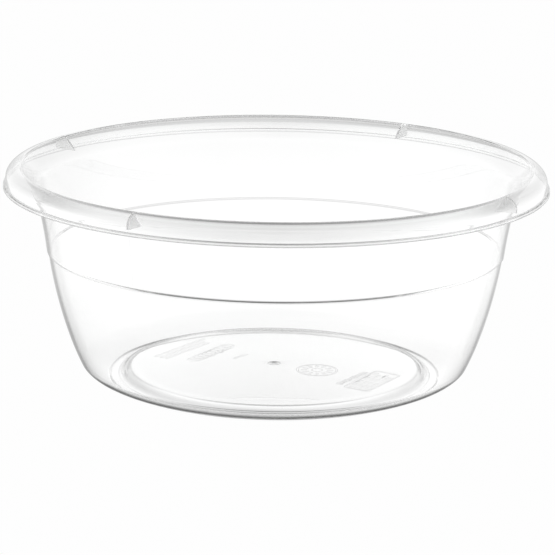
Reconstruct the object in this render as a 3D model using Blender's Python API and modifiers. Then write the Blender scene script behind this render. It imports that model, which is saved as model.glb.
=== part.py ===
"""Round clear plastic baby bath basin, a one-piece moulding.

Metres, +Z up.  The origin is the centre of the resting plane under the foot.
The body is one turned shell: a crowned and raised base panel, a foot ring, a
rounded heel, a bowed wall with a ledge above its middle, a rolled rim with a
crease at its inner edge, a hanging skirt and lip, and four radial webs that
tie the skirt to the wall.

Points are (radius, height).  Angles of a profile are measured from the outward
radius towards +Z.  A bend is the pair of handle lengths (start, end) of a curve.
"""

import math

import bmesh
import bpy
import numpy as np
from mathutils import Matrix

WALL = 0.0025            # moulded wall, between heel and ledge
STEPS = 64               # facets round the axis

# Base: "over" is the upper side, the other values are for the underside
CROWN = 0.0020           # how far the panel's centre stands above its edge
PANEL_Z = 0.0069         # underside at the panel's edge
PANEL_THICKNESS = 0.0021
PANEL_OVER_Z = PANEL_Z + PANEL_THICKNESS
PANEL_RING_RADIUS = 0.065   # one ring of points part way out on the panel
PANEL_RADIUS = 0.1184    # where the panel starts to drop to the foot
PANEL_RADIUS_OVER = 0.1201
FOOT_IN = 0.1303         # resting ring
FOOT_OUT = 0.1363
CHANNEL_RADIUS = 0.1304  # upper side: where the channel floor starts
FOOT_THICKNESS = 0.0030
RISER_BEND = (0.0055, 0.0054)
RISER_BEND_OVER = (0.0043, 0.0012)
RISER_SEGMENTS = 4
FOOT_SOFT = 0.0015       # reach of the rounding between foot and heel
CHANNEL_SOFT = 0.00155   # the same on the upper side
GATE_RADIUS = 0.0045     # small disc left by the moulding gate
GATE_HEIGHT = 0.0006

# Heel and lower wall, outer side
HEEL_THICKNESS = 0.0023
HEEL_START_ANGLE = math.radians(22.2)
HEEL_END = (0.16135, 0.0153)
HEEL_END_ANGLE = math.radians(64.0)
HEEL_BEND = (0.0081, 0.0094)
HEEL_SEGMENTS = 6
LOWER_BEND = (0.0274, 0.0331)
LOWER_SEGMENTS = 5
LOWER_TOP_ANGLE = math.atan2(1.0, 0.14)
# Heights where the thickness is set; it runs evenly between them
THICKNESS_HEIGHTS = (0.0, 0.016, 0.040)
THICKNESSES = (HEEL_THICKNESS, (HEEL_THICKNESS + WALL) / 2, WALL)

# Ledge round the wall
LEDGE_RADIUS = 0.1883    # outer side, just under the ledge
LEDGE_Z = 0.1091
LEDGE_OUT = 0.0010       # how far the upper wall stands out, outer side
LEDGE_OUT_HALF = 0.00065  # half the ledge's height
LEDGE_IN = 0.0009        # the same on the inner side, a little higher up
LEDGE_IN_HALF = 0.0016
LEDGE_LIFT = 0.0007
ABOVE_BASE_Z = 0.030     # height along the path only rises above this

# Flared upper wall, outer side, up to where the rim begins
FLARE_TOP = (0.1989, 0.1602)
FLARE_TOP_ANGLE = math.atan2(1.0, 0.225)
FLARE_BEND = (0.0170, 0.0215)
FLARE_SEGMENTS = 3

# Rim, upper side
CREASE = (0.2093, 0.1785)
CREASE_BELOW = math.radians(56.0)   # slope arriving at the crease
CREASE_ABOVE = math.radians(29.0)   # slope leaving it
ROLL_BEND = (0.0077, 0.0034)
ROLL_SEGMENTS = 4
CREST = (0.2119, 0.1794)
DOME_BEND = (0.0013, 0.0013)
DOME_SEGMENTS = 2
SKIRT_RADIUS = 0.2228
SHOULDER_Z = 0.1706
SHOULDER_FULLNESS = 1.09  # exponent of the quarter ellipse
SHOULDER_SEGMENTS = 5
LIP_TOP_Z = 0.1647
LIP_Z = 0.1621           # underside of the lip
LIP_RADIUS = 0.2250
LIP_FALL = 0.0003
RIM_THICKNESS = 0.0022
SKIRT_THICKNESS = 0.00185
# Shares of the rim's points, from flare to lip, where its thickness is set
RIM_SHARES = (0.0, 0.35, 0.75, 1.0)
RIM_THICKNESSES = (WALL - LEDGE_IN + LEDGE_OUT, RIM_THICKNESS, RIM_THICKNESS, SKIRT_THICKNESS)

# Webs under the rim
WEB_COUNT = 4
FIRST_WEB_AZIMUTH = 59.0  # degrees
WEB_THICKNESS = 0.0020
WEB_BOTTOM_Z = 0.1668
WEB_BITE = 0.0010        # how deep a web runs into the shell


# ------------------------------------------------------------------- curves
def bezier(start, start_angle, end, end_angle, bend, segments):
    """Points of a cubic curve that leaves and arrives at the given angles."""
    start, end = np.array(start), np.array(end)
    start_handle = start + bend[0] * np.array([math.cos(start_angle), math.sin(start_angle)])
    end_handle = end - bend[1] * np.array([math.cos(end_angle), math.sin(end_angle)])
    t = np.linspace(0.0, 1.0, segments + 1)[:, None]
    return ((1 - t) ** 3 * start + 3 * (1 - t) ** 2 * t * start_handle
            + 3 * (1 - t) * t * t * end_handle + t ** 3 * end)


def offset(path, distance):
    """The path moved to its left, mitred; distance may change along it."""
    along = np.diff(path, axis=0)
    along /= np.linalg.norm(along, axis=1)[:, None]
    before, after = np.vstack([along[:1], along]), np.vstack([along, along[-1:]])
    mean = before + after
    mean /= np.linalg.norm(mean, axis=1)[:, None]
    mitre = distance / (mean * before).sum(1)
    return path + np.stack([-mean[:, 1] * mitre, mean[:, 0] * mitre], 1)


def cut_back(path, reach):
    """The path without the first stretch of the given length."""
    lengths = np.linalg.norm(np.diff(path, axis=0), axis=1)
    travelled = np.concatenate([[0.0], np.cumsum(lengths)])
    i = int(np.searchsorted(travelled, reach, side="right"))
    share = (reach - travelled[i - 1]) / (travelled[i] - travelled[i - 1])
    return np.vstack([path[i - 1] + (path[i] - path[i - 1]) * share, path[i:]])


def soften(base, wall, corner, reach):
    """Base and wall paths joined by a curve in place of their corner."""
    base = cut_back(np.vstack([base, corner])[::-1], reach)[::-1]
    wall = cut_back(np.vstack([corner, wall]), reach)
    middle = 0.25 * base[-1] + 0.5 * np.array(corner) + 0.25 * wall[0]
    return np.vstack([base, middle, wall])


def add_ledge(path, z, half, step):
    """Push the part of a path above height z out by a step."""
    height = path[:, 1]
    wall = path[height > ABOVE_BASE_Z]
    foot_r, brow_r = np.interp([z - half, z + half], wall[:, 1], wall[:, 0])
    return np.vstack([path[height < z - half],
                      (foot_r, z - half), (brow_r + step, z + half),
                      path[height > z + half] + [step, 0.0]])


# ------------------------------------------------------------ shell profile
def crown(radius, edge):
    """Height of the crowned panel above its edge."""
    return CROWN * (1.0 - (radius / edge) ** 2)


def base_side(edge, foot, bend):
    """One side of the base: crowned panel, then the riser down to the foot."""
    ring = (PANEL_RING_RADIUS, edge[1] + crown(PANEL_RING_RADIUS, edge[0]))
    return np.vstack([ring, bezier(edge, 0.0, foot, 0.0, bend, RISER_SEGMENTS)])


def outer_wall():
    """Outer side from foot to rim, before the ledge is worked in."""
    ledge = (LEDGE_RADIUS, LEDGE_Z)
    top = (FLARE_TOP[0] - LEDGE_OUT, FLARE_TOP[1])
    heel = bezier((FOOT_OUT, 0.0), HEEL_START_ANGLE, HEEL_END, HEEL_END_ANGLE,
                  HEEL_BEND, HEEL_SEGMENTS)
    lower = bezier(HEEL_END, HEEL_END_ANGLE, ledge, LOWER_TOP_ANGLE,
                   LOWER_BEND, LOWER_SEGMENTS)
    upper = bezier(ledge, LOWER_TOP_ANGLE, top, FLARE_TOP_ANGLE,
                   FLARE_BEND, FLARE_SEGMENTS)
    return np.vstack([heel, lower[1:], upper[1:]])


def outer_skin(wall):
    """Outer side from the axis to the rim, with the gate's disc underneath."""
    base = base_side((PANEL_RADIUS, PANEL_Z), (FOOT_IN, 0.0), RISER_BEND)
    skin = soften(base, wall[1:], (FOOT_OUT, 0.0), FOOT_SOFT)
    skin = add_ledge(skin, LEDGE_Z, LEDGE_OUT_HALF, LEDGE_OUT)
    panel_z = PANEL_Z + crown(GATE_RADIUS, PANEL_RADIUS)
    gate_z = panel_z - GATE_HEIGHT
    return np.vstack([(0.0, gate_z), (GATE_RADIUS, gate_z), (GATE_RADIUS, panel_z), skin])


def inner_skin(wall):
    """Inner side from the axis to the rim, one thickness in from the wall."""
    wall = offset(wall, np.interp(wall[:, 1], THICKNESS_HEIGHTS, THICKNESSES))
    # The wall starts below the channel floor: begin it where the two cross
    first = int(np.argmax(wall[:, 1] > FOOT_THICKNESS))
    below, above = wall[first - 1], wall[first]
    corner = below + (above - below) * ((FOOT_THICKNESS - below[1]) / (above[1] - below[1]))

    base = base_side((PANEL_RADIUS_OVER, PANEL_OVER_Z), (CHANNEL_RADIUS, FOOT_THICKNESS),
                     RISER_BEND_OVER)
    skin = soften(base, wall[first:], corner, CHANNEL_SOFT)
    skin = add_ledge(skin, LEDGE_Z + LEDGE_LIFT, LEDGE_IN_HALF, LEDGE_IN)
    return np.vstack([(0.0, PANEL_OVER_Z + CROWN), skin])


def rim_upper_side(start):
    """Roll, dome and shoulder, from the top of the inner skin to the skirt."""
    roll = bezier(start, FLARE_TOP_ANGLE, CREASE, CREASE_BELOW, ROLL_BEND, ROLL_SEGMENTS)
    dome = bezier(CREASE, CREASE_ABOVE, CREST, 0.0, DOME_BEND, DOME_SEGMENTS)
    turn = np.linspace(0.0, math.pi / 2, SHOULDER_SEGMENTS + 1)[1:]
    across = np.sin(turn) ** SHOULDER_FULLNESS
    up = np.abs(np.cos(turn)) ** SHOULDER_FULLNESS
    shoulder = np.stack([CREST[0] + (SKIRT_RADIUS - CREST[0]) * across,
                         SHOULDER_Z + (CREST[1] - SHOULDER_Z) * up], 1)
    return np.vstack([roll, dome[1:], shoulder])


def rim_underside(rim_upper):
    """The rim's underside, without the ends that the flare and lip supply."""
    path = np.vstack([rim_upper, (SKIRT_RADIUS, LIP_TOP_Z)])
    shares = np.linspace(0.0, 1.0, len(path))
    return offset(path, -np.interp(shares, RIM_SHARES, RIM_THICKNESSES))[1:-1]


def shell_profile():
    """The whole section, inner side first, and the rim's underside."""
    wall = outer_wall()
    inner, outer = inner_skin(wall), outer_skin(wall)
    rim_upper = rim_upper_side(inner[-1])
    rim_under = rim_underside(rim_upper)
    lip = [(SKIRT_RADIUS, LIP_TOP_Z), (LIP_RADIUS, LIP_TOP_Z - LIP_FALL),
           (LIP_RADIUS, LIP_Z), (SKIRT_RADIUS - SKIRT_THICKNESS, LIP_Z)]
    section = np.vstack([inner, rim_upper[1:], lip, rim_under[::-1], outer[::-1]])
    return section, rim_under


# ----------------------------------------------------------------- material
def clear_plastic():
    material = bpy.data.materials.new("clear_plastic")
    material.use_nodes = True
    inputs = material.node_tree.nodes["Principled BSDF"].inputs
    settings = {
        "Base Color": (0.93, 0.94, 0.945, 1.0),
        "Roughness": 0.06,
        "Metallic": 0.0,
        "IOR": 1.49,
        "Transmission Weight": 1.0,
    }
    for name, value in settings.items():
        inputs[name].default_value = value
    return material


# ------------------------------------------------------------------ objects
def add_basin(section, material, collection):
    """The section as a chain of edges in the XZ plane, turned about Z."""
    mesh = bpy.data.meshes.new("basin")
    bm = bmesh.new()
    verts = [bm.verts.new((radius, 0.0, z)) for radius, z in section]
    for pair in zip(verts, verts[1:]):
        bm.edges.new(pair)
    bm.to_mesh(mesh)
    bm.free()
    mesh.materials.append(material)
    basin = bpy.data.objects.new("basin", mesh)
    collection.objects.link(basin)

    screw = basin.modifiers.new("turn", "SCREW")
    screw.axis = "Z"
    screw.steps = STEPS
    screw.render_steps = STEPS
    screw.use_merge_vertices = True
    screw.merge_threshold = 0.0001
    screw.use_smooth_shade = True
    return basin


def plate_mesh(name, outline, thickness, collection):
    """A closed mesh of a flat outline, made from a filled and extruded curve."""
    curve = bpy.data.curves.new(name, "CURVE")
    curve.dimensions = "2D"
    curve.fill_mode = "BOTH"
    curve.extrude = thickness / 2
    spline = curve.splines.new("POLY")
    spline.points.add(len(outline) - 1)
    for point, (x, y) in zip(spline.points, outline):
        point.co = (x, y, 0.0, 1.0)
    spline.use_cyclic_u = True

    flat = bpy.data.objects.new(name + "_outline", curve)
    collection.objects.link(flat)
    bpy.context.view_layer.update()
    graph = bpy.context.evaluated_depsgraph_get()
    mesh = bpy.data.meshes.new_from_object(flat.evaluated_get(graph))
    bpy.data.objects.remove(flat)

    # Weld the caps to the edge band so the plate is solid
    bm = bmesh.new()
    bm.from_mesh(mesh)
    bmesh.ops.remove_doubles(bm, verts=bm.verts, dist=1e-6)
    bmesh.ops.recalc_face_normals(bm, faces=bm.faces)
    bm.to_mesh(mesh)
    bm.free()
    return mesh


def add_web(name, azimuth, rim_under, material, collection):
    """A radial plate under the rim, its edges buried in the shell."""
    buried = offset(rim_under[rim_under[:, 1] > WEB_BOTTOM_Z], WEB_BITE)
    outline = np.vstack([(buried[0][0], WEB_BOTTOM_Z), buried,
                         (buried[-1][0], WEB_BOTTOM_Z)])
    mesh = plate_mesh(name, outline, WEB_THICKNESS, collection)
    mesh.materials.append(material)
    web = bpy.data.objects.new(name, mesh)
    # Stand the plate upright, then swing it to its azimuth
    web.matrix_world = (Matrix.Rotation(math.radians(azimuth), 4, "Z")
                        @ Matrix.Rotation(math.pi / 2, 4, "X"))
    collection.objects.link(web)
    web.hide_render = True
    web.display_type = "WIRE"
    return web


def add_collection(name):
    collection = bpy.data.collections.new(name)
    bpy.context.scene.collection.children.link(collection)
    return collection


def main():
    for obj in list(bpy.data.objects):
        bpy.data.objects.remove(obj)

    parts = add_collection("bath_basin")
    tools = add_collection("bath_basin_tools")
    plastic = clear_plastic()
    section, rim_under = shell_profile()
    basin = add_basin(section, plastic, parts)

    for i in range(WEB_COUNT):
        azimuth = FIRST_WEB_AZIMUTH + i * 360.0 / WEB_COUNT
        web = add_web(f"web_{i + 1}", azimuth, rim_under, plastic, tools)
        join = basin.modifiers.new(f"join_web_{i + 1}", "BOOLEAN")
        join.operation = "UNION"
        join.solver = "EXACT"
        join.object = web


main()
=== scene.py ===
"""The looks of a round clear bath basin.

The basin stands on z = 0 with its axis on the z axis; the camera looks from -y.
It is one clear moulding, built as one closed mesh: both skins of the turned
shell, four webs under the rim, and the plain relief under the base panel.
"""

import math

import bmesh
import bpy
import numpy as np
from mathutils import Matrix, Vector
from mathutils.geometry import delaunay_2d_cdt


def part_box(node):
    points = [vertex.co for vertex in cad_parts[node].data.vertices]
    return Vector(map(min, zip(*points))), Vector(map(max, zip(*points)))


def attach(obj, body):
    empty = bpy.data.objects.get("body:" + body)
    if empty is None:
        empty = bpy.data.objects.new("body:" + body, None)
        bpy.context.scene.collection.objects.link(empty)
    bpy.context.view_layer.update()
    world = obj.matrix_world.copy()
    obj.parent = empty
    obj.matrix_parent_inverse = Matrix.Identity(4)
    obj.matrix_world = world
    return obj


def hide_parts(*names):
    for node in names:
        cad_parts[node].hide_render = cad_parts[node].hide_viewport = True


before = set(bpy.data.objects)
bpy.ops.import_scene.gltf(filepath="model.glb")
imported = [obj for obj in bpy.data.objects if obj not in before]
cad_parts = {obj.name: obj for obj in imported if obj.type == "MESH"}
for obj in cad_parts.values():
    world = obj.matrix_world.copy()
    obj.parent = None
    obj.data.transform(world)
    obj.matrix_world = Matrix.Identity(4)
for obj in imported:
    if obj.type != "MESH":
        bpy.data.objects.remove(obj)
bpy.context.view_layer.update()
basin_lo, basin_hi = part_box("basin")

# ------------------------------------------------------------------ section
# Lengths are in millimetres; points are (radius, height) above the resting plane.
# A path runs outwards and up; its angles are measured from the outward direction.
# A BEND is the pair of handle lengths at a curve's start and end.
WALL_THICK = 2.5
COLUMNS = 512                    # even steps round the axis, before the webs' edges are fitted in

# base: a crowned panel, a riser down to the flat foot ring, then the heel
CROWN = 2.0                      # how far the panel's centre stands above its edge
PANEL_Z = 6.9                    # underside at the panel's edge
PANEL_THICK = 2.1
PANEL_R = 118.4                  # panel's edge on the underside
PANEL_R_IN = 120.1               # and on the upper side
PANEL_RINGS = (110.0, 98.0, 82.0, 66.0, 50.0, 34.0, 18.0)
DIMPLE = ((5.0, 0.0), (3.6, 0.01), (2.2, 0.05), (1.1, 0.14))    # radius, depth above the gate
DIMPLE_DEPTH = 0.22              # at the centre
FOOT_IN = 130.3                  # resting ring's inner radius
FOOT_OUT = 136.3
CHANNEL_R = 130.4                # where the channel's floor starts on the upper side
FOOT_THICK = 3.0
RISER_BEND = (5.5, 5.4)
RISER_BEND_IN = (4.3, 1.2)
HEEL_THICK = 2.3
HEEL_ANGLE = math.radians(22.2)
HEEL_BEND = (8.1, 9.4)
HEEL_END = (161.35, 15.3)
HEEL_END_ANGLE = math.radians(64.0)
FOOT_SOFT = 1.5                  # softening where the foot turns into the heel
CHANNEL_SOFT = 1.55              # the same for the channel

# wall, with a ledge part of the way up
LOWER_BEND = (27.4, 33.1)
LEDGE_R = 188.3
LEDGE_Z = 109.1
LEDGE_OUT = 1.0                  # step of the outer skin
LEDGE_OUT_HALF = 0.65            # half the step's height
LEDGE_IN = 0.9                   # the same for the inner skin
LEDGE_IN_HALF = 1.6
LEDGE_LIFT = 0.7                 # how far the inner step stands above the outer one
LEDGE_REACH = 1.8                # fine points reach this far above and below a step
LEDGE_CLEAR = 2.0                # coarse points nearer than this give way to them
WALL_FROM = 30.0                 # only points above this height can move with a ledge
WALL_ANGLE = math.atan2(1.0, 0.14)
UPPER_BEND = (17.0, 21.5)
FLARE_TOP = (198.9, 160.2)
FLARE_ANGLE = math.atan2(1.0, 0.225)

# rim: rolls out to a crease, domes to the crest, falls over a shoulder to skirt and lip
CREASE = (209.3, 178.5)
CREASE_BELOW = math.radians(56.0)
CREASE_ABOVE = math.radians(29.0)
ROLL_BEND = (7.7, 3.4)
DOME_BEND = (1.3, 1.3)
CREST = (211.9, 179.4)
SKIRT_R = 222.8
SHOULDER_Z = 170.6
SHOULDER_FULL = 1.09             # exponent of the shoulder's curve; 1 is an ellipse
RIM_THICK = 2.2
SKIRT_THICK = 1.85
FOLD_SHARE = 0.985               # offset points nearer than this share of the thickness are folded
SKIRT_IN = SKIRT_R - SKIRT_THICK
SKIRT_IN_TOP = SHOULDER_Z - 1    # where the skirt's inner face starts to lean
LIP_TOP = 164.7
LIP_Z = 162.1
LIP_R = 225.0
LIP_FALL = 0.3
LIP_ROOT = 1.0                   # roundings
LIP_EDGE = 0.45
LIP_HEEL = 0.9
DRAFT = 0.22                     # how much the faces lean to leave the mould

# webs
WEB_AZIMUTHS = [59.0 + 90.0 * i for i in range(4)]
WEB_THICK = 2.0
WEB_R = 210.5                    # radius at which the webs have their thickness
WEB_Z = 166.8                    # height of their flat foot
WEB_CLEAR = 0.35                 # columns nearer a web than this share of a step are left out

RIM_R = (basin_hi.x - basin_lo.x) / 2.0                     # scene units
MILLIMETRE = (basin_hi.x - basin_lo.x) / (2 * LIP_R)        # scene units


def bezier(start, end, angles, handles, steps):
    start, end = np.array(start, float), np.array(end, float)
    leave = start + handles[0] * np.array([math.cos(angles[0]), math.sin(angles[0])])
    arrive = end - handles[1] * np.array([math.cos(angles[1]), math.sin(angles[1])])
    t = np.linspace(0.0, 1.0, steps + 1)[:, None]
    return ((1 - t) ** 3 * start + 3 * (1 - t) ** 2 * t * leave
            + 3 * (1 - t) * t * t * arrive + t ** 3 * end)


def quadratic(start, control, end, steps):
    t = np.linspace(0.0, 1.0, steps + 1)[:, None]
    return (1 - t) ** 2 * start + 2 * (1 - t) * t * control + t * t * end


def offset(path, distance):
    """The path moved to its left, mitred; distance may differ from point to point."""
    run = np.diff(path, axis=0)
    run /= np.linalg.norm(run, axis=1)[:, None]
    before = np.vstack([run[:1], run])
    after = np.vstack([run, run[-1:]])
    mitre = before + after
    mitre /= np.linalg.norm(mitre, axis=1)[:, None]
    reach = distance / (mitre * before).sum(1)
    return path + np.stack([-mitre[:, 1] * reach, mitre[:, 0] * reach], 1)


def rounded_corners(points, radii):
    """The roundings of a polyline's inner corners, without its two ends."""
    points = [np.array(p, float) for p in points]
    curves = []
    for before, corner, after, radius in zip(points, points[1:], points[2:], radii):
        back, ahead = before - corner, after - corner
        back_length, ahead_length = np.linalg.norm(back), np.linalg.norm(ahead)
        back, ahead = back / back_length, ahead / ahead_length
        turn = math.acos(-(back @ ahead))
        reach = min(radius * math.tan(turn / 2), 0.48 * back_length, 0.48 * ahead_length)
        curves.append(quadratic(corner + back * reach, corner, corner + ahead * reach, 5))
    return np.vstack(curves)


def cut_back(path, reach):
    """The path without the first stretch of the given length."""
    lengths = np.linalg.norm(np.diff(path, axis=0), axis=1)
    travel = np.concatenate([[0.0], np.cumsum(lengths)])
    i = int(np.searchsorted(travel, reach, side="right"))
    share = (reach - travel[i - 1]) / (travel[i] - travel[i - 1])
    return np.vstack([[path[i - 1] + (path[i] - path[i - 1]) * share], path[i:]])


def soften(base, wall, corner, reach):
    """Base and wall paths joined by a curve in place of their corner."""
    base = cut_back(np.vstack([base, [corner]])[::-1], reach)[::-1]
    wall = cut_back(np.vstack([[corner], wall]), reach)
    curve = quadratic(base[-1], np.array(corner, float), wall[0], 7)
    return np.vstack([base, curve[1:-1], wall])


def ledge(path, z, half, step):
    """Sets the wall above a height out by a step, with soft edges."""
    low = path[path[:, 1] < WALL_FROM]
    wall = path[path[:, 1] >= WALL_FROM]
    rise = np.linspace(z - LEDGE_REACH, z + LEDGE_REACH, 19)
    fine = np.stack([np.interp(rise, wall[:, 1], wall[:, 0]), rise], 1)
    far = (wall[:, 1] < z - LEDGE_CLEAR) | (wall[:, 1] > z + LEDGE_CLEAR)
    wall = np.vstack([wall[far], fine])
    wall = wall[np.argsort(wall[:, 1])]
    t = np.clip((wall[:, 1] - (z - half)) / (2 * half), 0.0, 1.0)
    wall[:, 0] += step * t * t * (3 - 2 * t)
    return np.vstack([low, wall])


def crown(radius, edge):
    return CROWN * (1 - (radius / edge) ** 2)


def shell_paths():
    """Inner and outer skin from the panel's edge to the top of the flare."""
    heel = bezier((FOOT_OUT, 0.0), HEEL_END, (HEEL_ANGLE, HEEL_END_ANGLE), HEEL_BEND, 22)
    ledge_at = (LEDGE_R, LEDGE_Z)
    lower = bezier(HEEL_END, ledge_at, (HEEL_END_ANGLE, WALL_ANGLE), LOWER_BEND, 24)[1:]
    top = (FLARE_TOP[0] - LEDGE_OUT, FLARE_TOP[1])
    upper = bezier(ledge_at, top, (WALL_ANGLE, FLARE_ANGLE), UPPER_BEND, 16)[1:]
    wall = np.vstack([heel, lower, upper])
    thick = np.interp(wall[:, 1], [0, 4, 16, 40],
                      [HEEL_THICK, HEEL_THICK, (HEEL_THICK + WALL_THICK) / 2, WALL_THICK])
    inner_wall = offset(wall, thick)

    # the inner wall starts where it crosses the channel's floor
    k = int(np.argmax(inner_wall[:, 1] > FOOT_THICK))
    below, above = inner_wall[k - 1], inner_wall[k]
    share = (FOOT_THICK - below[1]) / (above[1] - below[1])
    corner = (below[0] + share * (above[0] - below[0]), FOOT_THICK)

    under = bezier((PANEL_R, PANEL_Z), (FOOT_IN, 0.0), (0.0, 0.0), RISER_BEND, 18)
    over = bezier((PANEL_R_IN, PANEL_Z + PANEL_THICK), (CHANNEL_R, FOOT_THICK),
                  (0.0, 0.0), RISER_BEND_IN, 18)
    outer = soften(under, wall[1:], (FOOT_OUT, 0.0), FOOT_SOFT)
    inner = soften(over, inner_wall[k:], corner, CHANNEL_SOFT)
    return (ledge(inner, LEDGE_Z + LEDGE_LIFT, LEDGE_IN_HALF, LEDGE_IN),
            ledge(outer, LEDGE_Z, LEDGE_OUT_HALF, LEDGE_OUT))


def rim_path(start):
    """The rim's upper skin, from the top of the flare to the foot of the shoulder."""
    roll = bezier(start, CREASE, (FLARE_ANGLE, CREASE_BELOW), ROLL_BEND, 18)
    dome = bezier(CREASE, CREST, (CREASE_ABOVE, 0.0), DOME_BEND, 10)[1:]
    a = np.linspace(0, math.pi / 2, 21)[1:, None]
    shoulder = np.hstack([
        CREST[0] + (SKIRT_R - CREST[0]) * np.sin(a) ** SHOULDER_FULL,
        SHOULDER_Z + (CREST[1] - SHOULDER_Z) * np.cos(a) ** SHOULDER_FULL])
    return np.vstack([roll, dome, shoulder])


def rim_underside(rim):
    """The rim's lower skin, in the rim's own order, without the fold inside the crease."""
    path = np.vstack([rim, [(SKIRT_R, LIP_TOP)]])
    thick = np.interp(np.linspace(0.0, 1.0, len(path)), [0, 0.35, 0.75, 1],
                      [WALL_THICK - LEDGE_IN + LEDGE_OUT, RIM_THICK, RIM_THICK, SKIRT_THICK])
    step = np.diff(path, axis=0)
    kept = []
    for point, depth in zip(offset(path, -thick)[1:-1], thick[1:-1]):
        t = np.clip(((point - path[:-1]) * step).sum(1) / (step ** 2).sum(1), 0.0, 1.0)
        gap = np.linalg.norm(path[:-1] + step * t[:, None] - point, axis=1).min()
        if gap > depth * FOLD_SHARE:
            kept.append(point)
    return np.array(kept)


def section():
    """The inner skin out to the lip, the outer one back, and how many of its steps a web spans."""
    inner, outer = shell_paths()
    rim = rim_path(inner[-1])
    lip = rounded_corners(
        [(SKIRT_R, SHOULDER_Z), (SKIRT_R, LIP_TOP), (LIP_R - DRAFT, LIP_TOP - LIP_FALL),
         (LIP_R, LIP_Z), (SKIRT_IN + DRAFT, LIP_Z), (SKIRT_IN, SKIRT_IN_TOP)],
        [LIP_ROOT, LIP_EDGE, LIP_EDGE, LIP_HEEL])

    # a point on the skirt and one on the wall at exactly the height of the webs' foot
    back = np.vstack([rim_underside(rim)[::-1], outer[::-1]])
    heights = back[:, 1]
    first = int(np.argmax(heights > WEB_Z))                             # climbing the skirt
    last = len(heights) - 1 - int(np.argmax(heights[::-1] > WEB_Z))     # leaving down the wall
    share = (heights[last] - WEB_Z) / (heights[last] - heights[last + 1])
    wall_point = back[last] + (back[last + 1] - back[last]) * share
    lean = DRAFT * (SKIRT_IN_TOP - WEB_Z) / (SKIRT_IN_TOP - LIP_Z)
    back = np.vstack([[(SKIRT_IN + lean, WEB_Z)], back[first:last + 1],
                      [wall_point], back[last + 1:]])
    return np.vstack([inner, rim[1:], lip]), back, last - first + 2


# ------------------------------------------------------------ base's relief
# Plain marks on the panel's underside, as (outline, height) pairs in millimetres;
# nested ones come after their holders.  Outlines run anticlockwise in x and y.
RAISED_DRAFT = 0.5               # width of the side wall round a raised mark
SUNK_DRAFT = 0.45                # and round a pocket
GATE_RADIUS = 4.5                # small disc left by the moulding gate
GATE_HEIGHT = 0.6
GATE_RINGS = (                   # radius, height, points: a low button and the stub in its middle
    (GATE_RADIUS + 0.9, 0.0, 48), (GATE_RADIUS, GATE_HEIGHT, 48),
    (2.4, GATE_HEIGHT * 0.9, 28), (1.6, GATE_HEIGHT + 0.25, 28))


def placed(origin, angle, along, across):
    """A point given along and across a direction from the origin."""
    c, s = math.cos(angle), math.sin(angle)
    return origin[0] + along * c - across * s, origin[1] + along * s + across * c


def bar_outline(centre, length, width, angle):
    """A bar with round ends."""
    half = length / 2 - width / 2
    points = []
    for sign, start in ((1, -90), (-1, 90)):
        for i in range(5):
            t = math.radians(start + 45 * i)
            points.append(placed(centre, angle, sign * half + width / 2 * math.cos(t),
                                 width / 2 * math.sin(t)))
    return points


def box_outline(centre, width, height, corner, angle):
    """A box with rounded corners."""
    points = []
    for side_x, side_y, start in ((1, 1, 0), (-1, 1, 90), (-1, -1, 180), (1, -1, 270)):
        for i in range(4):
            t = math.radians(start + 30 * i)
            points.append(placed(centre, angle,
                                 side_x * (width / 2 - corner) + corner * math.cos(t),
                                 side_y * (height / 2 - corner) + corner * math.sin(t)))
    return points


def ring_outline(centre, radius, count):
    return [(centre[0] + radius * math.cos(2 * math.pi * i / count),
             centre[1] + radius * math.sin(2 * math.pi * i / count)) for i in range(count)]


def grow(outline, distance):
    points = np.array(outline)
    return offset(np.vstack([points[-1:], points, points[:1]]), -distance)[1:-1]


def raised(outline, height, draft=RAISED_DRAFT):
    """A mark: the foot of its side wall, then its top."""
    return [(grow(outline, draft), 0.0), (outline, height)]


def sunk(outline, height):
    """A pocket in a raised mark: its brink, then its floor."""
    return [(grow(outline, SUNK_DRAFT), height), (outline, 0.0)]


def dashes():
    """Three rows of dashes, then a short dash and a bar apart from them."""
    origin, angle, pitch, gap = (-96.5, 15.5), math.radians(56.5), 5.6, 2.4
    rows = ((9, 6, 11, 7, 10, 8, 6), (7, 10, 6, 9, 8, 11), (10, 7, 9, 6, 11, 7))    # lengths
    marks = []
    for row, lengths in enumerate(rows):
        along = 2.0
        for length in lengths:
            centre = placed(origin, angle, along + length / 2, pitch - pitch * row)
            marks += raised(bar_outline(centre, length, 2.2, angle), 0.3)
            along += length + gap
    for centre, width in (((-31.6, 16.4), 2.0), ((-25.6, 24.4), 2.6)):
        marks += raised(bar_outline(centre, 8.0, width, math.radians(55)), 0.3)
    return marks


def ribbed_bar():
    """A bar with a row of pockets, which leave cross ribs between them."""
    origin, angle, height = (-70.0, 5.2), math.radians(58.5), 0.25
    length, width, end, cells, rib = 63.0, 11.5, 4.0, 9, 1.8
    pocketed = length - 2 * end
    marks = raised(bar_outline(placed(origin, angle, length / 2, 0.0), length, width, angle),
                   height)
    for i in range(cells):
        centre = placed(origin, angle, end + pocketed * (i + 0.5) / cells, 0.0)
        marks += sunk(box_outline(centre, pocketed / cells - rib, width - 3.4, 0.9, angle),
                      height)
    return marks


def dial():
    """A ring with a hub and twelve ticks."""
    centre, height, tick_r, ticks = (35.6, -19.6), 0.26, 11.0, 12
    marks = raised(ring_outline(centre, 17.0, 56), height)
    marks += sunk(ring_outline(centre, 15.5, 56), height)
    for i in range(ticks):
        t = 2 * math.pi * i / ticks
        tick_at = (centre[0] + tick_r * math.cos(t), centre[1] + tick_r * math.sin(t))
        marks += raised(bar_outline(tick_at, 4.6, 1.5, t), 0.25, draft=0.4)
    return marks + raised(ring_outline(centre, 4.2, 28), 0.28)


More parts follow.
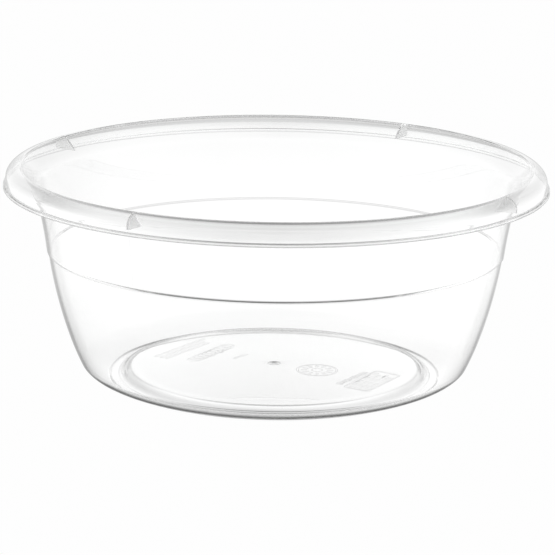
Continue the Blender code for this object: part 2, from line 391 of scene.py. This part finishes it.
def tick_row():
    """A row of short ticks, every third one longer."""
    angle, pitch = math.radians(57), 4.0
    marks = []
    for i in range(11):
        centre = placed((52.5, -58.8), angle, 2.0 + pitch * i, 0.0)
        length = 3.6 if i % 3 else 5.4
        marks += raised(bar_outline(centre, length, 1.7, angle + math.pi / 2), 0.3)
    return marks


def framed_bars():
    """A rounded frame with four rows of bars."""
    centre, angle, height = (80.6, -47.0), math.radians(60), 0.26
    even = ((-19.5, 9.5), (-8.0, 9.0), (4.0, 8.0), (17.0, 11.0))     # place along, length
    odd = ((-19.5, 9.5), (-8.0, 9.0), (9.0, 17.0))
    marks = raised(box_outline(centre, 57.0, 23.0, 3.5, angle), height)
    marks += sunk(box_outline(centre, 54.0, 20.0, 2.7, angle), height)
    for row, bars in enumerate((even, odd, even, odd)):
        for along, length in bars:
            bar_at = placed(centre, angle, along, 6.9 - 4.6 * row)
            marks += raised(bar_outline(bar_at, length, 1.8, angle), 0.3)
    return marks


def relief():
    gate = [(ring_outline((0.0, 0.0), r, count), height) for r, height, count in GATE_RINGS]
    return dashes() + ribbed_bar() + dial() + tick_row() + framed_bars() + gate


def height_at(x, y, marks):
    """Height of the innermost outline that holds the point."""
    found = 0.0
    for outline, height in marks:
        xs, ys = outline[:, 0], outline[:, 1]
        xe, ye = np.roll(xs, -1), np.roll(ys, -1)
        slope_run = np.where(ye == ys, 1e-9, ye - ys)
        crossed = ((ys > y) != (ye > y)) & (x < (xe - xs) * (y - ys) / slope_run + xs)
        if crossed.sum() % 2:
            found = height
    return found


# --------------------------------------------------------------------- mesh
FILL_PITCH = 4.0                 # between the rings of loose points on the underside
FILL_SPACING = 4.6               # between points on such a ring
FILL_CLEAR = 1.3                 # how far they keep from the outlines


def columns():
    """Azimuths of the mesh's columns in degrees, and the index of each web's first column."""
    step = 360.0 / COLUMNS
    half = math.degrees(WEB_THICK / 2 / WEB_R)
    clear = half + WEB_CLEAR * step
    azimuths = [360.0 * i / COLUMNS for i in range(COLUMNS)]
    azimuths = [a for a in azimuths if all(abs(a - web) > clear for web in WEB_AZIMUTHS)]
    for web in WEB_AZIMUTHS:
        azimuths += [web - half, web + half]
    azimuths.sort()
    return azimuths, [azimuths.index(web - half) for web in WEB_AZIMUTHS]


def add_ring(bm, headings, radius, z):
    return [bm.verts.new((radius * MILLIMETRE * c, radius * MILLIMETRE * s, z * MILLIMETRE))
            for c, s in headings]


def add_band(bm, lower, upper, skip=()):
    for j in range(len(lower)):
        if j not in skip:
            k = (j + 1) % len(lower)
            bm.faces.new((lower[j], lower[k], upper[k], upper[j])).smooth = True


def add_web(bm, rings, column):
    """Two flat cheeks and a foot, in the second material."""
    left = [ring[column] for ring in rings]
    right = [ring[column + 1] for ring in rings]
    for outline in (left, right[::-1], (left[0], right[0], right[-1], left[-1])):
        bm.faces.new(outline).material_index = 1


def add_panel_top(bm, headings, edge):
    """Rings from the edge to the centre, with a dimple over the gate."""
    edge_z = PANEL_Z + PANEL_THICK
    previous = edge
    for radius, depth in tuple((r, 0.0) for r in PANEL_RINGS) + DIMPLE:
        ring = add_ring(bm, headings, radius, edge_z + crown(radius, PANEL_R_IN) - depth)
        add_band(bm, ring, previous)
        previous = ring
    centre = bm.verts.new((0.0, 0.0, (edge_z + CROWN - DIMPLE_DEPTH) * MILLIMETRE))
    for j in range(len(previous)):
        bm.faces.new((centre, previous[j], previous[(j + 1) % len(previous)])).smooth = True


def fill_points(held):
    """Points in staggered rings over the panel, clear of the held ones."""
    rings = []
    for i, r in enumerate(np.arange(FILL_PITCH, PANEL_R - 2.0, FILL_PITCH)):
        count = max(6, int(round(2 * math.pi * r / FILL_SPACING)))
        t = 2 * math.pi * (np.arange(count) + 0.5 * (i % 2)) / count
        rings.append(np.stack([r * np.cos(t), r * np.sin(t)], 1))
    points = np.vstack(rings)
    near = np.sqrt(((points[:, None, :] - held[None, :, :]) ** 2).sum(2)).min(1)
    return points[near > FILL_CLEAR]


def add_panel_underside(bm, headings, edge):
    """One flat triangulation round all relief outlines, lifted to the crown."""
    marks = [(np.array(outline), height) for outline, height in relief()]
    rim = [(PANEL_R * c, PANEL_R * s) for c, s in headings]
    points, heights, edges = [], [], []
    for outline, height in [(rim, 0.0)] + marks:
        at, count = len(points), len(outline)
        points.extend(Vector((x, y)) for x, y in outline)
        heights.extend([height] * count)
        edges.extend((at + i, at + (i + 1) % count) for i in range(count))
    for x, y in fill_points(np.array([tuple(point) for point in points])):
        points.append(Vector((float(x), float(y))))
        heights.append(height_at(x, y, marks))

    # output type 1 keeps the triangles inside the outlines
    flat, _, faces, sources, _, _ = delaunay_2d_cdt(points, edges, [], 1, 1e-5)
    verts = []
    for point, source in zip(flat, sources):
        if source and source[0] < len(edge):
            verts.append(edge[source[0]])
            continue
        height = heights[source[0]] if source else 0.0      # no source: outlines cross there
        z = PANEL_Z + crown(math.hypot(point.x, point.y), PANEL_R) - height
        verts.append(bm.verts.new((point.x * MILLIMETRE, point.y * MILLIMETRE, z * MILLIMETRE)))
    for face in faces:
        bm.faces.new([verts[v] for v in reversed(face)]).smooth = True


def build_basin():
    inner, outer, web_steps = section()
    azimuths, web_columns = columns()
    headings = [(math.cos(math.radians(a)), math.sin(math.radians(a))) for a in azimuths]

    bm = bmesh.new()
    rings = [add_ring(bm, headings, r, z) for r, z in np.vstack([inner, outer])]
    web_from = len(inner)
    web_to = web_from + web_steps
    for i in range(len(rings) - 1):
        skip = web_columns if web_from <= i < web_to else ()
        add_band(bm, rings[i], rings[i + 1], skip)
    for column in web_columns:
        add_web(bm, rings[web_from:web_to + 1], column)
    add_panel_top(bm, headings, rings[0])
    add_panel_underside(bm, headings, rings[-1])

    bmesh.ops.recalc_face_normals(bm, faces=bm.faces)
    mesh = bpy.data.meshes.new("basin_moulding")
    bm.to_mesh(mesh)
    bm.free()
    obj = bpy.data.objects.new("basin_moulding", mesh)
    bpy.context.scene.collection.objects.link(obj)
    mesh.set_sharp_from_angle(angle=math.radians(20))
    return obj


# ---------------------------------------------------------------- materials
POLISHED = 0.012                 # roughness of the skins
SATIN = 0.26                     # roughness of the webs
PALE = 0.99                      # brightness of the floor and of the backdrop the camera sees


def feed(tree, node, inputs):
    """Links sockets to the node's inputs and sets plain values on them."""
    for slot, value in inputs.items():
        if isinstance(value, bpy.types.NodeSocket):
            tree.links.new(value, node.inputs[slot])
        else:
            node.inputs[slot].default_value = value


def add_node(tree, kind, inputs={}, **settings):
    node = tree.nodes.new(kind)
    for name, value in settings.items():
        setattr(node, name, value)
    feed(tree, node, inputs)
    return node


def add_math(tree, operation, *values):
    return add_node(tree, "ShaderNodeMath", dict(enumerate(values)), operation=operation).outputs[0]


def add_noise(tree, vector, scale, detail, distortion=0.0):
    return add_node(tree, "ShaderNodeTexNoise", {
        "Vector": vector, "Scale": scale, "Detail": detail,
        "Distortion": distortion}).outputs["Fac"]


def remap(tree, value, source, target):
    return add_node(tree, "ShaderNodeMapRange", {
        "Value": value, "From Min": source[0], "From Max": source[1],
        "To Min": target[0], "To Max": target[1]}).outputs["Result"]


def flow_waves(tree, where):
    """Normals for waves that run out from the gate, with a gentle sway."""
    flat = add_node(tree, "ShaderNodeVectorMath", {0: where, 1: (1.0, 1.0, 0.12)},
                    operation="MULTIPLY")
    # nearly the same for all points on one ray from the axis
    heading = add_node(tree, "ShaderNodeVectorMath", {0: flat.outputs["Vector"]},
                       operation="NORMALIZE")
    flow = add_noise(tree, heading.outputs["Vector"], scale=7.0, detail=2.0)
    sway = add_noise(tree, where, scale=16.0, detail=1.0, distortion=0.4)
    height = add_math(tree, "ADD", add_math(tree, "MULTIPLY", flow, 0.5), sway)
    return add_node(tree, "ShaderNodeBump", {
        "Strength": 1.0, "Distance": 0.00006, "Height": height}).outputs["Normal"]


def wear(tree, where):
    """Roughness added by rubbed patches and hair scratches."""
    patches = add_noise(tree, where, scale=24.0, detail=3.0, distortion=0.6)
    rubbed = remap(tree, patches, source=(0.52, 0.78), target=(0.0, 0.014))
    grain = add_node(tree, "ShaderNodeMapping", {       # stretched into thin streaks
        "Vector": where, "Rotation": (0.3, 0.2, 0.7), "Scale": (420.0, 14.0, 60.0)})
    streaks = add_noise(tree, grain.outputs["Vector"], scale=1.0, detail=1.0)
    hair = remap(tree, streaks, source=(0.70, 0.76), target=(0.0, 0.05))
    return add_math(tree, "ADD", rubbed, hair)


def haze(tree, where):
    """Faint change of tint through the plastic."""
    clouds = add_noise(tree, where, scale=9.0, detail=2.0)
    return add_node(tree, "ShaderNodeMix", {
        0: remap(tree, clouds, source=(0.3, 0.7), target=(0.0, 1.0)),
        6: (0.980, 0.983, 0.982, 1.0),
        7: (0.990, 0.990, 0.989, 1.0)}, data_type="RGBA").outputs[2]


def clear_plastic(name, roughness):
    mat = bpy.data.materials.new(name)
    mat.use_nodes = True
    tree = mat.node_tree
    bsdf = tree.nodes["Principled BSDF"]
    where = add_node(tree, "ShaderNodeTexCoord").outputs["Object"]
    feed(tree, bsdf, {
        "Normal": flow_waves(tree, where),
        "Roughness": add_math(tree, "ADD", wear(tree, where), roughness),
        "Base Color": haze(tree, where),
        "IOR": 1.49,
        "Transmission Weight": 1.0})

    # light caught in the lip or the heel leaks out after many bounces
    depth = add_node(tree, "ShaderNodeLightPath").outputs["Ray Depth"]
    gap = add_node(tree, "ShaderNodeBsdfTransparent", {"Color": (0.84, 0.84, 0.84, 1.0)})
    leak = add_node(tree, "ShaderNodeMixShader", {
        0: add_math(tree, "GREATER_THAN", depth, 13.5), 1: bsdf.outputs[0], 2: gap.outputs[0]})
    feed(tree, tree.nodes["Material Output"], {"Surface": leak.outputs[0]})
    return mat


def floor_material():
    mat = bpy.data.materials.new("pale_floor")
    mat.use_nodes = True
    tree = mat.node_tree
    tree.nodes.clear()
    glow = add_node(tree, "ShaderNodeEmission", {"Color": (1, 1, 1, 1), "Strength": PALE})
    add_node(tree, "ShaderNodeOutputMaterial", {"Surface": glow.outputs["Emission"]})
    return mat


# ------------------------------------------------------------------- studio
# A bright-field set-up for clear plastic, which turns with the camera.  What
# the camera sees directly is plain and pale.  What the plastic bends or mirrors
# is set by how far a direction leans from the camera's axis, and to which side:
# a lit window straight ahead, dark cards round it that draw the edges, soft
# boxes to both sides and overhead, and a dim camera side.
WINDOW = 1.18                    # strength on the axis
BEHIND = 0.50                    # strength straight behind the camera
LEANS = (6, 9, 12, 16, 21, 28, 37, 50, 68, 92, 120, 152)        # degrees from the axis
LIGHTS = (                       # strengths at LEANS, one row a side, anticlockwise from the right
    ("right", (0.85, 1.00, 0.72, 0.60, 0.85, 1.30, 1.35, 1.35, 1.45, 1.40, 0.90, 0.45)),
    ("right_up", (0.90, 0.30, 0.60, 0.75, 0.78, 0.95, 0.80, 0.70, 0.60, 0.90, 0.80, 0.60)),
    ("up", (0.80, 0.72, 0.80, 1.10, 1.05, 1.00, 0.50, 0.26, 0.42, 0.62, 0.38, 0.20)),
    ("left_up", (0.86, 0.35, 0.58, 0.68, 0.70, 1.05, 0.95, 0.85, 0.90, 0.90, 0.65, 0.50)),
    ("left", (0.83, 0.76, 0.68, 0.58, 0.66, 1.24, 1.33, 1.55, 1.90, 1.55, 0.75, 0.42)),
    ("left_down", (0.82, 0.62, 0.42, 0.22, 0.12, 0.20, 0.56, 1.05, 1.25, 1.35, 0.80, 0.00)),
    ("down", (0.95, 0.75, 0.45, 0.12, 0.05, 0.22, 0.50, 0.90, 0.68, 0.68, 0.50, 0.00)),
    ("right_down", (0.87, 0.75, 0.50, 0.28, 0.12, 0.28, 0.66, 1.30, 1.40, 1.45, 0.85, 0.00)),
)
HALF_TURN = 4.0                  # half a turn round the axis, in sides
RAMP_TOP = 2.0                   # strength that a ramp's white stands for


def side_light(tree, name, row, lean):
    """Strength over the lean from the axis, for one side."""
    ramp = add_node(tree, "ShaderNodeValToRGB", {"Fac": lean}, label=name)
    stops = ramp.color_ramp.elements
    table = [(0.0, WINDOW)] + list(zip(LEANS, row)) + [(180.0, BEHIND)]
    for j, (angle, strength) in enumerate(table):
        stop = stops[j] if j < 2 else stops.new(angle / 180.0)      # a new ramp has two stops
        stop.position = angle / 180.0
        stop.color = (strength / RAMP_TOP,) * 3 + (1.0,)
    return ramp.outputs["Color"]


def studio():
    world = bpy.data.worlds.new("studio")
    world.use_nodes = True
    tree = world.node_tree
    tree.nodes.clear()
    coord = add_node(tree, "ShaderNodeTexCoord")
    to_camera = add_node(tree, "ShaderNodeVectorTransform",
                         {"Vector": coord.outputs["Generated"]},
                         vector_type="VECTOR", convert_from="WORLD", convert_to="CAMERA")
    unit = add_node(tree, "ShaderNodeVectorMath", {0: to_camera.outputs["Vector"]},
                    operation="NORMALIZE")
    x, y, z = add_node(tree, "ShaderNodeSeparateXYZ", {0: unit.outputs["Vector"]}).outputs
    # 0 on the axis, 1 behind the camera
    lean = add_math(tree, "DIVIDE", add_math(tree, "ARCCOSINE", z), math.pi)
    # 0 right, 2 up, 4 left, -2 down
    side = add_math(tree, "DIVIDE", add_math(tree, "ARCTAN2", y, x), math.pi / HALF_TURN)

    total = None
    for i, (name, row) in enumerate(LIGHTS):
        strength = side_light(tree, name, row, lean)
        shifted = add_math(tree, "ADD", side, 3 * HALF_TURN - i)
        turned = add_math(tree, "FLOORED_MODULO", shifted, 2 * HALF_TURN)
        away = add_math(tree, "ABSOLUTE", add_math(tree, "SUBTRACT", turned, HALF_TURN))
        share = add_math(tree, "MAXIMUM", add_math(tree, "SUBTRACT", 1.0, away), 0.0)
        part = add_math(tree, "MULTIPLY", strength, share)
        total = part if total is None else add_math(tree, "ADD", total, part)
    total = add_math(tree, "MULTIPLY", total, RAMP_TOP)

    path = add_node(tree, "ShaderNodeLightPath")
    seen = add_node(tree, "ShaderNodeMix", {
        0: path.outputs["Is Camera Ray"], 2: total, 3: PALE}, data_type="FLOAT")
    back = add_node(tree, "ShaderNodeBackground", {
        "Color": (1.0, 1.0, 1.0, 1.0), "Strength": seen.outputs[0]})
    add_node(tree, "ShaderNodeOutputWorld", {"Surface": back.outputs["Background"]})
    return world


# ------------------------------------------------------------- floor, camera
FLOOR_R = 40.0                   # scene units
FLOOR_Z = -0.0004
CAMERA_DISTANCE = 12.236 * RIM_R
CAMERA_HEIGHT = 3.385 * RIM_R
PITCH = 0.24141                  # radians, looking down
YAW = -0.00067
ROLL = 0.013035
LENS = 221.548541                # millimetres, on a sensor 36 wide


def add_floor():
    """A pale disc that only the camera sees."""
    bpy.ops.mesh.primitive_circle_add(vertices=96, radius=FLOOR_R, fill_type="NGON",
                                      location=(0, 0, FLOOR_Z))
    floor = bpy.context.object
    floor.name = "floor"
    floor.data.materials.append(floor_material())
    for kind in ("diffuse", "glossy", "transmission", "volume_scatter", "shadow"):
        setattr(floor, "visible_" + kind, False)


def add_camera():
    data = bpy.data.cameras.new("camera")
    data.sensor_width = 36.0
    data.lens = LENS
    data.clip_start = 0.05
    data.clip_end = 200.0
    cam = bpy.data.objects.new("camera", data)
    bpy.context.scene.collection.objects.link(cam)
    turn = Matrix.Rotation(YAW, 3, "Z")
    forward = turn @ Vector((0, math.cos(PITCH), -math.sin(PITCH)))
    up = turn @ Vector((0, math.sin(PITCH), math.cos(PITCH)))
    right = turn @ Vector((1, 0, 0))
    c, s = math.cos(ROLL), math.sin(ROLL)
    right, up = c * right + s * up, -s * right + c * up
    pose = Matrix((right, up, -forward)).transposed().to_4x4()
    pose.translation = (0, -CAMERA_DISTANCE, CAMERA_HEIGHT)
    cam.matrix_world = pose
    bpy.context.scene.camera = cam


basin = build_basin()
basin.data.materials.append(clear_plastic("clear_plastic_polished", POLISHED))
basin.data.materials.append(clear_plastic("clear_plastic_satin", SATIN))
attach(basin, "root")
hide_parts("basin")

add_floor()
bpy.context.scene.world = studio()
add_camera()

scene = bpy.context.scene
scene.view_settings.view_transform = "Standard"
scene.view_settings.look = "None"
scene.cycles.max_bounces = 48
scene.cycles.transmission_bounces = 48
scene.cycles.glossy_bounces = 32
scene.cycles.transparent_max_bounces = 32
scene.cycles.sample_clamp_indirect = 0.0
scene.cycles.use_denoising = True
